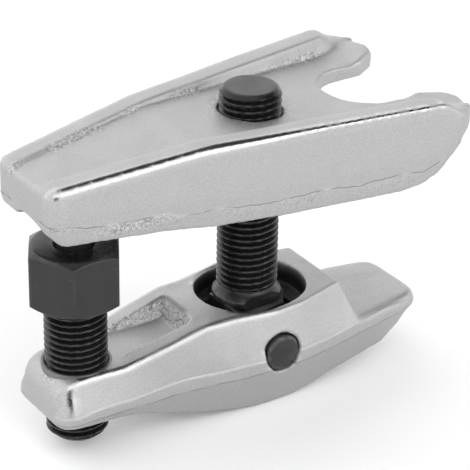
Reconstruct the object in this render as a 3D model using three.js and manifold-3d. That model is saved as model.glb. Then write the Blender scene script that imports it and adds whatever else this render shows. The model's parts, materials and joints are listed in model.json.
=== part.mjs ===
// Ball joint separator: two forged jaws, an eye stud that joins them, and a pressure screw that
// spreads their tails. Millimetres, +X towards the fork, +Z up. The origin lies on the stud's axis,
// in the plane that the lower jaw's belly stands on.
import * as THREE from "three";
import { mergeVertices } from "three/addons/utils/BufferGeometryUtils.js";
import Module from "manifold-3d";

// ---------------------------------------------------------------- driving dimensions
const GAP = 0.3;                // clearance between pieces that touch or turn in each other

const PITCH = 2;                // both threads are M18 x 2
const CREST_R = 8.9;
const ROOT_R = 7.75;
const THREAD_SIDES = 18;        // facets in one turn of thread
const BORE_R = CREST_R + GAP + 0.1;

const SCREW_X = -57.5;          // the pressure screw's axis
const SCREW_END_Z = 3.7;
const HEX_FLATS = 24.6;
const HEX_BOTTOM_Z = 46.4;
const HEX_TOP_Z = 63.8;
const HEX_CHAMFER = Math.PI / 6;
const POST_R = 5.25;
const CHANNEL_TOP_Z = 76.7;     // ceiling of the arched channel that the post pushes against
const CHANNEL_R = 11;
const SOCKET_DEPTH = 11;        // blind bore in the screw head that the post turns in
const BALL_R = 3.5;
const SEAT_DEPTH = 2;           // how far the ball sinks into the bottom of that bore

const PIN_Z = 20;               // the cross pin's axis, at X = 0
const PIN_R = 5.45;
const PIN_LENGTH = 39.6;
const EYE_R = 11.4;
const EYE_HALF = 7.9;           // half the thickness of the stud's eye
const COLLAR_R = 10.2;
const COLLAR_Z = [30.3, 34.3];
const STUD_TOP_Z = 97;

const BOSS_Z = 27;              // floor of the lower jaw's trough, and the top of its screw boss
const BLOCK_Z = 33.3;           // top of the block around the stud
const PAD_Z = 21;               // top of the lower jaw's lifting pad
const WELL_Z = 26.4;            // floor of the round well in the block
const WELL_R = 14.6;
const TROUGH_END = [-25.6, -23.4]; // X of the trough's end wall, at its floor and at its top

const RIM_Z = 93.1;             // top of the upper jaw's rims beside the stud and the fork
const RIM_WIDTH = 6.9;
const WALL = 5;                 // thickness of the upper jaw's side walls
const SLOT_R = 13;              // half the width of the fork's slot
const SLOT_X = 39.6;            // centre of the slot's round end
const SLOT_MOUTH_X = 49;        // where the slot starts to widen
const JAW_BOSS_R = 15;
const TAIL_X = -73;
const TIP_X = 57.2;

// ---------------------------------------------------------------- solids
const wasm = await Module();
wasm.setup();

function solid(geometry) {
  const bare = geometry.index ? geometry.clone() : geometry;
  bare.deleteAttribute("normal");
  bare.deleteAttribute("uv");
  const merged = mergeVertices(bare, 1e-3);
  return new wasm.Manifold(new wasm.Mesh({
    numProp: 3,
    vertProperties: new Float32Array(merged.attributes.position.array),
    triVerts: new Uint32Array(merged.index.array),
  }));
}

function geometryOf(body) {
  const mesh = body.getMesh();
  const geometry = new THREE.BufferGeometry();
  geometry.setAttribute("position", new THREE.BufferAttribute(mesh.vertProperties, 3));
  geometry.setIndex(new THREE.BufferAttribute(mesh.triVerts, 1));
  geometry.computeVertexNormals();
  return geometry;
}

// A straight line between the points of a table of [x, value], level beyond its ends.
function along(table, x) {
  if (x <= table[0][0]) return table[0][1];
  for (let i = 1; i < table.length; i += 1) {
    const [x0, v0] = table[i - 1];
    const [x1, v1] = table[i];
    if (x <= x1) return v0 + ((v1 - v0) * (x - x0)) / (x1 - x0);
  }
  return table[table.length - 1][1];
}

// How far a corner of radius r pulls a side in, at distance d from the end that it rounds.
function roundIn(d, r) {
  if (d >= r) return 0;
  return r - Math.sqrt(r * r - (r - d) * (r - d));
}

// A closed body through convex sections. Each is [x, points], with the points [y, z] in order.
function loft(sections) {
  const count = sections[0][1].length;
  const positions = [];
  const index = [];
  for (const [x, points] of sections) {
    for (const [y, z] of points) positions.push(x, y, z);
  }
  for (let s = 0; s + 1 < sections.length; s += 1) {
    for (let i = 0; i < count; i += 1) {
      const a = s * count + i;
      const b = s * count + ((i + 1) % count);
      index.push(a, b, b + count, a, b + count, a + count);
    }
  }
  const last = (sections.length - 1) * count;
  for (let i = 1; i + 1 < count; i += 1) {
    index.push(0, i + 1, i);
    index.push(last, last + i, last + i + 1);
  }
  const geometry = new THREE.BufferGeometry();
  geometry.setAttribute("position", new THREE.Float32BufferAttribute(positions, 3));
  geometry.setIndex(index);
  return solid(geometry);
}

// The same section points mirrored in Y, listed once for the +Y side from the bottom up.
function mirrored(half) {
  const left = half.slice().reverse().map(([y, z]) => [-y, z]);
  return [...half, ...left];
}

function turned(profile, segments = 48) {
  const points = profile.map(([r, z]) => new THREE.Vector2(r, z));
  const geometry = new THREE.LatheGeometry(points, segments);
  geometry.rotateX(Math.PI / 2);
  return solid(geometry);
}

function rod(radius, z0, z1, segments = 48) {
  return turned([[0, z0], [radius, z0], [radius, z1], [0, z1]], segments);
}

// A plan outline made solid between two heights.
function slab(shape, z0, z1, curveSegments = 12) {
  const geometry = new THREE.ExtrudeGeometry(shape, { depth: z1 - z0, bevelEnabled: false, curveSegments });
  geometry.translate(0, 0, z0);
  return solid(geometry);
}

// A rod lying along Y, centred on y = 0.
function crossRod(radius, length, x, z, segments = 32) {
  const geometry = new THREE.CylinderGeometry(radius, radius, length, segments);
  geometry.translate(x, 0, z);
  return solid(geometry);
}

// A right-hand V thread about Z. Each column of points climbs one pitch in a full turn, so the last
// column meets the first one two rows further up, and a fan from the axis closes each end.
function thread(z0, z1) {
  const rows = Math.ceil((2 * (z1 - z0)) / PITCH) + 4;
  const positions = [];
  for (let side = 0; side < THREAD_SIDES; side += 1) {
    const angle = (2 * Math.PI * side) / THREAD_SIDES;
    for (let row = 0; row <= rows; row += 1) {
      const radius = row % 2 === 0 ? CREST_R : ROOT_R;
      const z = z0 - 2 * PITCH + PITCH * (row / 2 + side / THREAD_SIDES);
      positions.push(radius * Math.cos(angle), radius * Math.sin(angle), z);
    }
  }
  const at = (side, row) => (side < THREAD_SIDES ? side * (rows + 1) + row : row + 2);
  const index = [];
  for (let side = 0; side < THREAD_SIDES; side += 1) {
    const top = side === THREAD_SIDES - 1 ? rows - 2 : rows;
    for (let row = 0; row < top; row += 1) {
      index.push(at(side, row), at(side + 1, row), at(side + 1, row + 1));
      index.push(at(side, row), at(side + 1, row + 1), at(side, row + 1));
    }
  }
  const bottomLoop = [1, 2];
  for (let side = THREAD_SIDES - 1; side >= 0; side -= 1) bottomLoop.push(at(side, 0));
  const topLoop = [];
  for (let side = 0; side < THREAD_SIDES; side += 1) topLoop.push(at(side, rows));
  topLoop.push(at(THREAD_SIDES - 1, rows - 1), at(THREAD_SIDES - 1, rows - 2));
  for (const [loop, z] of [[bottomLoop, z0 - 3 * PITCH], [topLoop, z1 + 3 * PITCH]]) {
    const centre = positions.length / 3;
    positions.push(0, 0, z);
    for (let i = 0; i < loop.length; i += 1) {
      index.push(centre, loop[i], loop[(i + 1) % loop.length]);
    }
  }
  const geometry = new THREE.BufferGeometry();
  geometry.setAttribute("position", new THREE.Float32BufferAttribute(positions, 3));
  geometry.setIndex(index);
  return solid(geometry);
}

// ---------------------------------------------------------------- lower jaw
// Tables of [x, value] along the jaw: the top edge's half width, the flash band's half width, the
// belly's half width, and the heights of the top, the band and the belly.
const LOWER_END = { x: -70, corner: 5 };
const LOWER_NOSE = { x: 56, corner: 6 };
const LOWER_TOP_HALF = [
  [-68, 10.4], [-58, 10.8], [-48, 12], [-36, 13.4], [-23, 13.9], [-15, 14.2], [-8, 15.4], [0, 17],
  [8, 16.8], [16, 14.6], [24.2, 12.4], [29.5, 15.4], [44, 13.3], [56, 11.6],
];
const LOWER_BAND_HALF = [
  [-58, 13.7], [-40, 14.4], [-30, 15], [-22, 16.4], [-8, 19.4], [0, 20.5], [8, 20.1], [16, 18.8],
  [29.5, 16.8], [44, 14.6], [56, 12.4],
];
const LOWER_BELLY_HALF = [[-58, 12.2], [-24, 11.6], [0, 13], [12, 13], [43, 10.6], [56, 8]];
const LOWER_TOP = [
  [-70, 20], [-69.2, 22.6], [-68, 24.6], [-66, 26.2], [-63, BOSS_Z], [-48, BOSS_Z + 0.3], [-36, 30.2],
  [-23, BLOCK_Z], [24.2, BLOCK_Z], [29.5, PAD_Z], [53, PAD_Z], [55, 20.2], [56, 18.6],
];
const LOWER_BAND = [[-58, 14.4], [-22, 14.6], [-4, 15.4], [8, 15.7], [24, 15.7], [35, 16.3], [56, 16.8]];
const LOWER_BAND_HEIGHT = [[-70, 2.6], [-40, 4], [40, 4], [50, 2.4], [56, 1.2]];
const LOWER_BELLY = [
  [-70, 14], [-68, 12.8], [-60, 12], [-50, 11.5], [-42, 9.6], [-32, 6.2], [-24, 3.7], [-14, 1.5],
  [-5, 0], [8, 0], [14, 0.9], [20, 2.1], [27, 3.4], [35, 4.6], [43, 5.8], [50, 9.3], [54, 13.2], [56, 16],
];
const LOWER_STATIONS = [
  -70, -69.6, -69.2, -68, -66, -63, -58, -48, -42, -36, -32, -23, -15, -8, -5, 0, 8, 14, 20, 24.2,
  29.5, 35, 43, 47, 50, 52, 53, 54, 55, 55.6, 56,
];

function lowerBody() {
  return loft(LOWER_STATIONS.map((x) => {
    const fromEnd = Math.max(x - LOWER_END.x, 0.05);
    const fromNose = Math.max(LOWER_NOSE.x - x, 0.05);
    const inset = roundIn(fromEnd, LOWER_END.corner) + roundIn(fromNose, LOWER_NOSE.corner);
    const band = along(LOWER_BAND, x);
    return [x, mirrored([
      [along(LOWER_BELLY_HALF, x) - inset, along(LOWER_BELLY, x)],
      [along(LOWER_BAND_HALF, x) - inset, band],
      [along(LOWER_BAND_HALF, x) - inset, band + along(LOWER_BAND_HEIGHT, x)],
      [along(LOWER_TOP_HALF, x) - inset, along(LOWER_TOP, x)],
    ])];
  }));
}

// The trough between the rails, open towards the screw, with walls that lean out.
function trough() {
  const floorHalf = 6.3;
  const topHalf = 8.6;
  const top = BLOCK_Z + 2;
  const section = (x, spread) => [x, mirrored([[floorHalf + spread, BOSS_Z], [topHalf + spread, top]])];
  const endWall = loft([
    [TROUGH_END[0], mirrored([[floorHalf, BOSS_Z], [topHalf, top]])],
    [TROUGH_END[1], mirrored([[floorHalf, BLOCK_Z - 0.4], [topHalf, top]])],
  ]);
  return loft([section(-62, 0), section(TROUGH_END[0], 0)]).add(endWall);
}

// The round well that the stud leans about in, and the deep slot under it for the stud's eye.
function well() {
  const outline = new THREE.Shape();
  const reach = 2.2;
  const centre = 1.2;
  outline.absarc(centre + reach, 0, WELL_R, -Math.PI / 2, Math.PI / 2, false);
  outline.absarc(centre - reach, 0, WELL_R, Math.PI / 2, (3 * Math.PI) / 2, false);
  const slotHalf = EYE_HALF + GAP + 0.1;
  const slotReach = EYE_R + 1.2;
  const slot = new THREE.Shape();
  slot.moveTo(-slotReach, -slotHalf);
  slot.lineTo(slotReach, -slotHalf);
  slot.lineTo(slotReach, slotHalf);
  slot.lineTo(-slotReach, slotHalf);
  slot.closePath();
  const floor = PIN_Z - EYE_R - 0.9;
  return slab(outline, WELL_Z, BLOCK_Z + 4).add(slab(slot, floor, WELL_Z + 1));
}

function lowerJaw() {
  const screwBore = rod(BORE_R, -5, BOSS_Z + 6).translate([SCREW_X, 0, 0]);
  return lowerBody()
    .subtract(trough())
    .subtract(well())
    .subtract(screwBore)
    .subtract(crossRod(PIN_R + GAP + 0.05, 60, 0, PIN_Z));
}

// ---------------------------------------------------------------- upper jaw
const UPPER_BEND_X = -27;       // the tail slopes down from here
const UPPER_TAIL_SLOPE = 0.106;
const UPPER_HALF = (x) => 25.4 + 0.16 * x;
const UPPER_RIM = (x) => {
  const sloped = RIM_Z - UPPER_TAIL_SLOPE * Math.max(UPPER_BEND_X - x, 0);
  return sloped - along([[44.3, 0], [45.6, 0.6], [50, 3.5], [60, 4.2]], x);
};
const UPPER_TOP = (x) => UPPER_RIM(x) - roundIn(Math.max(x - TAIL_X, 0.05), 2.6);
const UPPER_WEB = [[TAIL_X, 87.1], [UPPER_BEND_X, 91.6], [0, 90.1], [45, 87.6], [60, 87.6]];
const UPPER_FLASH = 5;          // height of the flash line above the bottom edge
const UPPER_BOTTOM = [
  [TAIL_X, 80.6], [-72.4, 77.2], [-71, 74], [-69.5, 72.5], [-68, 72], [-41, 70.8], [-25, 69.1],
  [-7, 68.4], [32, 68.4], [38, 69.5], [43, 72.4], [47, 77.1], [51, 81.9], [53.5, 83.3], [60, 83.6],
];
const UPPER_STATIONS = [
  -73, -72.4, -71, -69.5, -68, -41, -27, -25, -7, 15, 32, 38, 43, 44.3, 45.6, 47, 50, 51, 53.5, 60,
];

function upperBody() {
  return loft(UPPER_STATIONS.map((x) => {
    const bottom = along(UPPER_BOTTOM, x);
    const top = UPPER_TOP(x);
    const half = UPPER_HALF(x);
    const flash = Math.min(bottom + UPPER_FLASH, (bottom + top) / 2);
    return [x, mirrored([[half + 0.4, bottom], [half + 1, flash], [half, top]])];
  }));
}

// Outline from above: tapered, round at the tail's corners, with two round-ended prongs.
function upperPlan() {
  const tailCorner = 3.8;
  const tailHalf = UPPER_HALF(TAIL_X) + 0.9;
  const tipOuter = 33.6;
  const tipInner = 15.4;
  const tipCorner = 6;
  const outline = new THREE.Shape();
  outline.moveTo(TAIL_X, -(tailHalf - tailCorner));
  outline.quadraticCurveTo(TAIL_X, -tailHalf, TAIL_X + tailCorner, -tailHalf - 0.75);
  outline.lineTo(46, -UPPER_HALF(46) - 1.2);
  outline.bezierCurveTo(52, -tipOuter, TIP_X - 1, -tipOuter + 2, TIP_X, -tipOuter + 9);
  outline.bezierCurveTo(TIP_X + 0.6, -tipInner - 4, TIP_X - 1, -tipInner - 1, TIP_X - tipCorner + 2, -tipInner);
  outline.lineTo(SLOT_MOUTH_X, -SLOT_R);
  outline.lineTo(SLOT_X, -SLOT_R);
  outline.absarc(SLOT_X, 0, SLOT_R, -Math.PI / 2, Math.PI / 2, true);
  outline.lineTo(SLOT_MOUTH_X, SLOT_R);
  outline.lineTo(TIP_X - tipCorner + 2, tipInner);
  outline.bezierCurveTo(TIP_X - 1, tipInner + 1, TIP_X + 0.6, tipInner + 4, TIP_X, tipOuter - 9);
  outline.bezierCurveTo(TIP_X - 1, tipOuter - 2, 52, tipOuter, 46, UPPER_HALF(46) + 1.2);
  outline.lineTo(TAIL_X + tailCorner, tailHalf + 0.75);
  outline.quadraticCurveTo(TAIL_X, tailHalf, TAIL_X, tailHalf - tailCorner);
  outline.closePath();
  return slab(outline, 50, 110, 8);
}

// The shallow recess between the rims. It runs out through the tail's end, and its sides lean.
function topRecess() {
  const ceiling = RIM_Z + 4;
  const section = (x) => {
    const half = UPPER_HALF(x) - RIM_WIDTH;
    const floor = along(UPPER_WEB, x);
    const rim = Math.max(UPPER_RIM(x), floor + 0.2);
    const lean = 0.3 + 0.25 * (rim - floor);
    const spread = (ceiling - rim) * 0.7;
    return [x, mirrored([[half - lean, floor], [half, rim], [half + spread, ceiling]])];
  };
  return loft([TAIL_X - 3, UPPER_BEND_X, 0, 44.3, 45.6, 50, 64].map(section));
}

// The hollow between the side walls, from the tail's solid end to the fork.
function underHollow() {
  const section = (x, ceiling) => {
    const half = UPPER_HALF(x) - WALL;
    return [x, mirrored([[half + 0.6, 60], [half - 1.2, ceiling - 3], [half - 4, ceiling]])];
  };
  return loft([
    section(-42, 76.7), section(-36, 82), section(UPPER_BEND_X, 84), section(0, 84), section(45, 83.3),
    section(64, 83.2),
  ]);
}

function upperJaw() {
  const hollow = underHollow().subtract(rod(JAW_BOSS_R, 71, 100));
  const channel = new THREE.CylinderGeometry(CHANNEL_R, CHANNEL_R, 40, 40);
  channel.rotateZ(Math.PI / 2);
  channel.translate(TAIL_X + 15, 0, CHANNEL_TOP_Z - CHANNEL_R);
  return upperBody()
    .intersect(upperPlan())
    .subtract(topRecess())
    .subtract(hollow)
    .subtract(solid(channel))
    .subtract(rod(BORE_R, 50, 110));
}

// ---------------------------------------------------------------- stud, pins and screw
function linkStud() {
  const chamfer = 1.5;
  const envelope = rod(CREST_R + 1, COLLAR_Z[1] - 1, STUD_TOP_Z - chamfer)
    .add(turned([
      [0, STUD_TOP_Z - chamfer - 0.5], [CREST_R + 0.5, STUD_TOP_Z - chamfer - 0.5],
      [CREST_R - chamfer, STUD_TOP_Z], [0, STUD_TOP_Z],
    ]));
  const shank = thread(COLLAR_Z[1] - 1, STUD_TOP_Z).intersect(envelope);
  const collar = turned([
    [0, COLLAR_Z[0]], [COLLAR_R - 1, COLLAR_Z[0]], [COLLAR_R, COLLAR_Z[0] + 1],
    [COLLAR_R, COLLAR_Z[1] - 1.7], [COLLAR_R - 2.2, COLLAR_Z[1]], [0, COLLAR_Z[1]],
  ]);
  const height = COLLAR_Z[0] + 1 - PIN_Z;
  const neck = new THREE.BoxGeometry(2 * (EYE_R - 1.5), 2 * EYE_HALF, height);
  neck.translate(0, 0, PIN_Z + height / 2);
  const round = solid(neck).intersect(rod(COLLAR_R + 0.6, PIN_Z - 1, COLLAR_Z[1]));
  return crossRod(EYE_R, 2 * EYE_HALF, 0, PIN_Z, 40)
    .add(round)
    .add(collar.add(shank).subtract(eyeFlats()))
    .subtract(crossRod(PIN_R + GAP + 0.05, 60, 0, PIN_Z));
}

// The eye's two flats run on up through the collar.
function eyeFlats() {
  const top = COLLAR_Z[1] - 0.3;
  const deep = 6;
  const [near, far] = [-1, 1].map((side) => {
    const block = new THREE.BoxGeometry(40, deep, top - PIN_Z);
    block.translate(0, side * (EYE_HALF + deep / 2), (top + PIN_Z) / 2);
    return solid(block);
  });
  return near.add(far);
}

function crossPin() {
  const half = PIN_LENGTH / 2;
  const chamfer = 0.8;
  return turned([
    [0, -half], [PIN_R - chamfer, -half], [PIN_R, -half + chamfer], [PIN_R, half - chamfer],
    [PIN_R - chamfer, half], [0, half],
  ], 32).rotate([90, 0, 0]).translate([0, 0, PIN_Z]);
}

function hexHead() {
  const cornerR = HEX_FLATS / Math.sqrt(3);
  const rise = (cornerR + 1 - HEX_FLATS / 2 + 0.6) * Math.tan(HEX_CHAMFER);
  const hexagon = new THREE.CylinderGeometry(cornerR, cornerR, HEX_TOP_Z - HEX_BOTTOM_Z, 6);
  hexagon.rotateX(Math.PI / 2);
  hexagon.translate(0, 0, (HEX_TOP_Z + HEX_BOTTOM_Z) / 2);
  const cone = turned([
    [0, HEX_BOTTOM_Z], [HEX_FLATS / 2 - 0.6, HEX_BOTTOM_Z], [cornerR + 1, HEX_BOTTOM_Z + rise],
    [cornerR + 1, HEX_TOP_Z - rise], [HEX_FLATS / 2 - 0.6, HEX_TOP_Z], [0, HEX_TOP_Z],
  ]);
  return solid(hexagon).intersect(cone);
}

const HEAD_TURN = 31;           // degrees that a corner of the hexagon stands off the -Y direction
const RING_Z = HEX_TOP_Z - 3.4; // the retaining ring's plane, inside the socket
const RING_WIRE = 0.8;
const BALL_Z = HEX_TOP_Z - SOCKET_DEPTH - SEAT_DEPTH + GAP + BALL_R;

function pressureScrew() {
  const chamfer = 2.4;
  const envelope = rod(CREST_R + 1, SCREW_END_Z + chamfer, HEX_BOTTOM_Z + 1)
    .add(turned([
      [0, SCREW_END_Z], [CREST_R - chamfer, SCREW_END_Z], [CREST_R + 0.5, SCREW_END_Z + chamfer + 0.5],
      [0, SCREW_END_Z + chamfer + 0.5],
    ]));
  const groove = turned([
    [POST_R + GAP, RING_Z - 1], [POST_R + GAP + 1.6, RING_Z - 1], [POST_R + GAP + 1.6, RING_Z + 1],
    [POST_R + GAP, RING_Z + 1], [POST_R + GAP, RING_Z - 1],
  ], 32);
  const socket = rod(POST_R + GAP + 0.05, HEX_TOP_Z - SOCKET_DEPTH, HEX_TOP_Z + 1, 32);
  const seat = turned([
    [0, HEX_TOP_Z - SOCKET_DEPTH - SEAT_DEPTH], [BALL_R - 1.2, HEX_TOP_Z - SOCKET_DEPTH - SEAT_DEPTH],
    [BALL_R + 0.6, HEX_TOP_Z - SOCKET_DEPTH + 0.5], [0, HEX_TOP_Z - SOCKET_DEPTH + 0.5],
  ], 32);
  return thread(SCREW_END_Z, HEX_BOTTOM_Z + 1).intersect(envelope)
    .add(hexHead().rotate([0, 0, -HEAD_TURN]))
    .subtract(socket)
    .subtract(groove)
    .subtract(seat);
}

// The post that pushes up the tail. Its groove holds the ring that keeps it in the screw's head.
function thrustPin() {
  const bottom = BALL_Z + BALL_R + GAP;
  const top = CHANNEL_TOP_Z - GAP;
  return turned([
    [0, bottom + 1], [POST_R - 2, bottom], [POST_R - 0.5, bottom], [POST_R, bottom + 0.5],
    [POST_R, RING_Z - 1], [POST_R - 0.9, RING_Z - 1], [POST_R - 0.9, RING_Z + 1], [POST_R, RING_Z + 1],
    [POST_R, top - 2.4], [POST_R - 1.1, top - 1], [POST_R - 3, top - 0.2], [0, top],
  ], 32);
}

function thrustBall() {
  const geometry = new THREE.SphereGeometry(BALL_R, 20, 12);
  geometry.rotateX(Math.PI / 2);
  geometry.translate(0, 0, BALL_Z);
  return solid(geometry);
}

// Round wire bent into an open ring.
function retainingRing() {
  const radius = POST_R + GAP + 0.4;
  const opening = 0.5;
  class Bend extends THREE.Curve {
    getPoint(t, target = new THREE.Vector3()) {
      const angle = opening / 2 + t * (2 * Math.PI - opening);
      return target.set(radius * Math.cos(angle), radius * Math.sin(angle), RING_Z);
    }
  }
  const wire = new THREE.Shape();
  wire.absarc(0, 0, RING_WIRE / 2, 0, 2 * Math.PI, false);
  return solid(new THREE.ExtrudeGeometry(wire, {
    steps: 28, bevelEnabled: false, curveSegments: 4, extrudePath: new Bend(),
  }));
}

// ---------------------------------------------------------------- assembly
const plated = { color: 0xbfc0c2, roughness: 0.34, metalness: 0.9 };
const blackened = { color: 0x2b2c2e, roughness: 0.42, metalness: 0.7 };
const polished = { color: 0xd5d6d8, roughness: 0.15, metalness: 1 };

function named(name, body, look) {
  const mesh = new THREE.Mesh(geometryOf(body), new THREE.MeshStandardMaterial(look));
  mesh.name = name;
  return mesh;
}

const separator = new THREE.Group();
separator.add(named("lower_jaw", lowerJaw(), plated));
separator.add(named("upper_jaw", upperJaw(), plated));
separator.add(named("link_stud", linkStud(), blackened));
separator.add(named("cross_pin", crossPin(), blackened));

const screwLine = new THREE.Group();
screwLine.position.x = SCREW_X;
screwLine.add(named("pressure_screw", pressureScrew(), blackened));
screwLine.add(named("thrust_pin", thrustPin(), blackened));
screwLine.add(named("thrust_ball", thrustBall(), polished));
screwLine.add(named("retaining_ring", retainingRing(), polished));
separator.add(screwLine);

export default separator;
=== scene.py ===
"""Ball joint separator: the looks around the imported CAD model.

The two jaws are drop forgings, so each is its CAD solid remeshed fine, filleted, and given a
parting line, waves and pits. The turned pieces are built again as fine closed grids, with real
helical threads. Lengths are in millimetres until a mesh is made, and the frame is in metres.
"""

import json
import math

import bmesh
import bpy
import numpy as np
from mathutils import Matrix, Vector, kdtree, noise

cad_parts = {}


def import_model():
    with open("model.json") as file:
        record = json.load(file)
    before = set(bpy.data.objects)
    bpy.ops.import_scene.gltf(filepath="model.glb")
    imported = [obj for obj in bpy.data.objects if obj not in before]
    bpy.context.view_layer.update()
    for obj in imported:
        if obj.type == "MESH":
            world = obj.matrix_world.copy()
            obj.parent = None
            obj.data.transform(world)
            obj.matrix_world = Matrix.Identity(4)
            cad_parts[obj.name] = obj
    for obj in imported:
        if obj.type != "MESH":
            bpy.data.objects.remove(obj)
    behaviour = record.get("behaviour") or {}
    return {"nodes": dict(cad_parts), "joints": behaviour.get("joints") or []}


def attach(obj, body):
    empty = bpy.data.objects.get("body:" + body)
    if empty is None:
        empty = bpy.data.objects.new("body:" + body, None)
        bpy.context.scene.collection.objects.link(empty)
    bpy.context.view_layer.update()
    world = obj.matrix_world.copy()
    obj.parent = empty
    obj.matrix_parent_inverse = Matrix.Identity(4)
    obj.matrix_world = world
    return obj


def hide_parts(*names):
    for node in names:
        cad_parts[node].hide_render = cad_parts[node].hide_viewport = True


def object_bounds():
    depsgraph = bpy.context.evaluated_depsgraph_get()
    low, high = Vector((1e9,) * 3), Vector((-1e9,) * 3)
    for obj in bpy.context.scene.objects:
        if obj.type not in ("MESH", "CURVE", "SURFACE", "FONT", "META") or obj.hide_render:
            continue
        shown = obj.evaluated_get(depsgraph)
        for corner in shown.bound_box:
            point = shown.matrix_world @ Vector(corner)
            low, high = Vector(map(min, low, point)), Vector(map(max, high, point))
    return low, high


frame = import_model()
cad_low, cad_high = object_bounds()

MM = 0.001

# ------------------------------------------------------------------ sizes, in millimetres
SCREW_X = frame["joints"][1]["pos_m"][0] / MM
GAP = 0.3
FLOOR_GAP = 0.2

PITCH = 2.0
CREST_R = 8.9
ROOT_R = 7.68
CREST_FLAT = 0.4
FLANK_SHARE = 0.86        # share of the flank's width that slopes, so the root is flat too
THREAD_STEPS = 18         # rows in one pitch
THREAD_CLEARANCE = 0.12   # between the screw or stud and a jaw's thread
LINING = 1.0              # a jaw's threaded lining reaches this far past the crests

SCREW_END_Z = 3.7
HEX_FLATS = 24.6
HEX_BOTTOM_Z = 46.4
HEX_TOP_Z = 63.8
HEAD_TURN = math.radians(31)
HEX_CHAMFER = math.radians(30)
POST_R = 5.25
POST_CLEARANCE = 0.15
SOCKET_R = POST_R + POST_CLEARANCE
SOCKET_Z = HEX_TOP_Z - 11
SEAT_Z = SOCKET_Z - 2
BALL_R = 3.5
BALL_Z = SEAT_Z + GAP + BALL_R
RING_Z = HEX_TOP_Z - 3.4
CHANNEL_TOP_Z = 76.7      # the top of the channel under the tail
LOWER_BORE_Z = (12.2, 27.15)
UPPER_BORE_Z = (69.2, 89.0)

PIN_Z = 20.0
PIN_R = 5.45
PIN_LENGTH = 39.6
EYE_R = 11.4
EYE_HALF = 7.9
COLLAR_R = 10.2
COLLAR_Z = (30.3, 34.3)
STUD_TOP_Z = 97.0

UPPER_HALF = 25.4         # half width of the upper jaw's rims at the stud
UPPER_TAPER = 0.16        # and how much it grows for each millimetre along X
TONGUE_Z = 88.8           # the web's top at the fork's tips

VOXEL = 0.45
FILLET = 2.6              # how far a fillet reaches from an inside corner
SHARP = 24                # an edge bent by more degrees than this is a corner of the forging
FLASH_STEP = 0.12         # the skin below the parting line stands back by this much
BAND = 0.22               # the lower jaw's raised band
NO_SEAM = 9.0             # distance to the parting line where there is none


# ------------------------------------------------------------------ camera, lights and floor
def camera():
    """The place, direction and lens that make the CAD model's outlines fall on the photo's."""
    azimuth, elevation, roll = (math.radians(a) for a in (34.487, 27.944, 1.011))
    forward = Vector((
        math.sin(azimuth) * math.cos(elevation),
        math.cos(azimuth) * math.cos(elevation),
        -math.sin(elevation),
    ))
    level = Vector((math.cos(azimuth), -math.sin(azimuth), 0))
    above = level.cross(forward)
    right = level * math.cos(roll) + above * math.sin(roll)
    up = above * math.cos(roll) - level * math.sin(roll)
    data = bpy.data.cameras.new("camera")
    data.sensor_width = 36
    data.lens = 167.35
    data.clip_start, data.clip_end = 0.01, 10
    eye = bpy.data.objects.new("camera", data)
    bpy.context.scene.collection.objects.link(eye)
    turn = Matrix((right, up, -forward)).transposed().to_4x4()
    eye.matrix_world = Matrix.Translation((-0.3180, -0.4566, 0.3449)) @ turn
    bpy.context.scene.camera = eye


def area_light(name, place, target, size, power):
    data = bpy.data.lights.new(name, "AREA")
    data.shape = "RECTANGLE"
    data.size, data.size_y = size
    data.energy = power
    lamp = bpy.data.objects.new(name, data)
    bpy.context.scene.collection.objects.link(lamp)
    lamp.location = place
    lamp.rotation_mode = "QUATERNION"
    lamp.rotation_quaternion = (Vector(target) - Vector(place)).to_track_quat("-Z", "Y")


# ------------------------------------------------------------------ node helpers
class Nodes:
    """Short calls for building a node tree."""

    def __init__(self, tree):
        self.tree = tree
        tree.nodes.clear()

    def add(self, kind, inputs=(), **settings):
        node = self.tree.nodes.new(kind)
        for key, value in settings.items():
            setattr(node, key, value)
        for key, value in dict(inputs).items():
            socket = node.inputs[key]
            if isinstance(value, bpy.types.NodeSocket):
                self.tree.links.new(value, socket)
            else:
                socket.default_value = value
        return node

    def math(self, operation, a, b=0.0):
        return self.add("ShaderNodeMath", {0: a, 1: b}, operation=operation).outputs[0]

    def ramp(self, value, low, high, at_low=0.0, at_high=1.0):
        node = self.add(
            "ShaderNodeMapRange",
            {"Value": value, "From Min": low, "From Max": high, "To Min": at_low, "To Max": at_high},
            interpolation_type="SMOOTHSTEP",
        )
        return node.outputs["Result"]

    def noise(self, place, scale, detail=3.0, rough=0.55):
        node = self.add(
            "ShaderNodeTexNoise", {"Vector": place, "Scale": scale, "Detail": detail, "Roughness": rough}
        )
        return node.outputs["Fac"]

    def mix(self, share, a, b):
        node = self.add("ShaderNodeMix", data_type="RGBA")
        for socket, value in ((0, share), (6, a), (7, b)):
            if isinstance(value, bpy.types.NodeSocket):
                self.tree.links.new(value, node.inputs[socket])
            else:
                node.inputs[socket].default_value = value
        return node.outputs[2]

    def tint(self, colour, level):
        """A colour made lighter or darker by a number."""
        node = self.add("ShaderNodeVectorMath", {0: colour}, operation="SCALE")
        self.tree.links.new(level, node.inputs["Scale"])
        return node.outputs[0]


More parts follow.
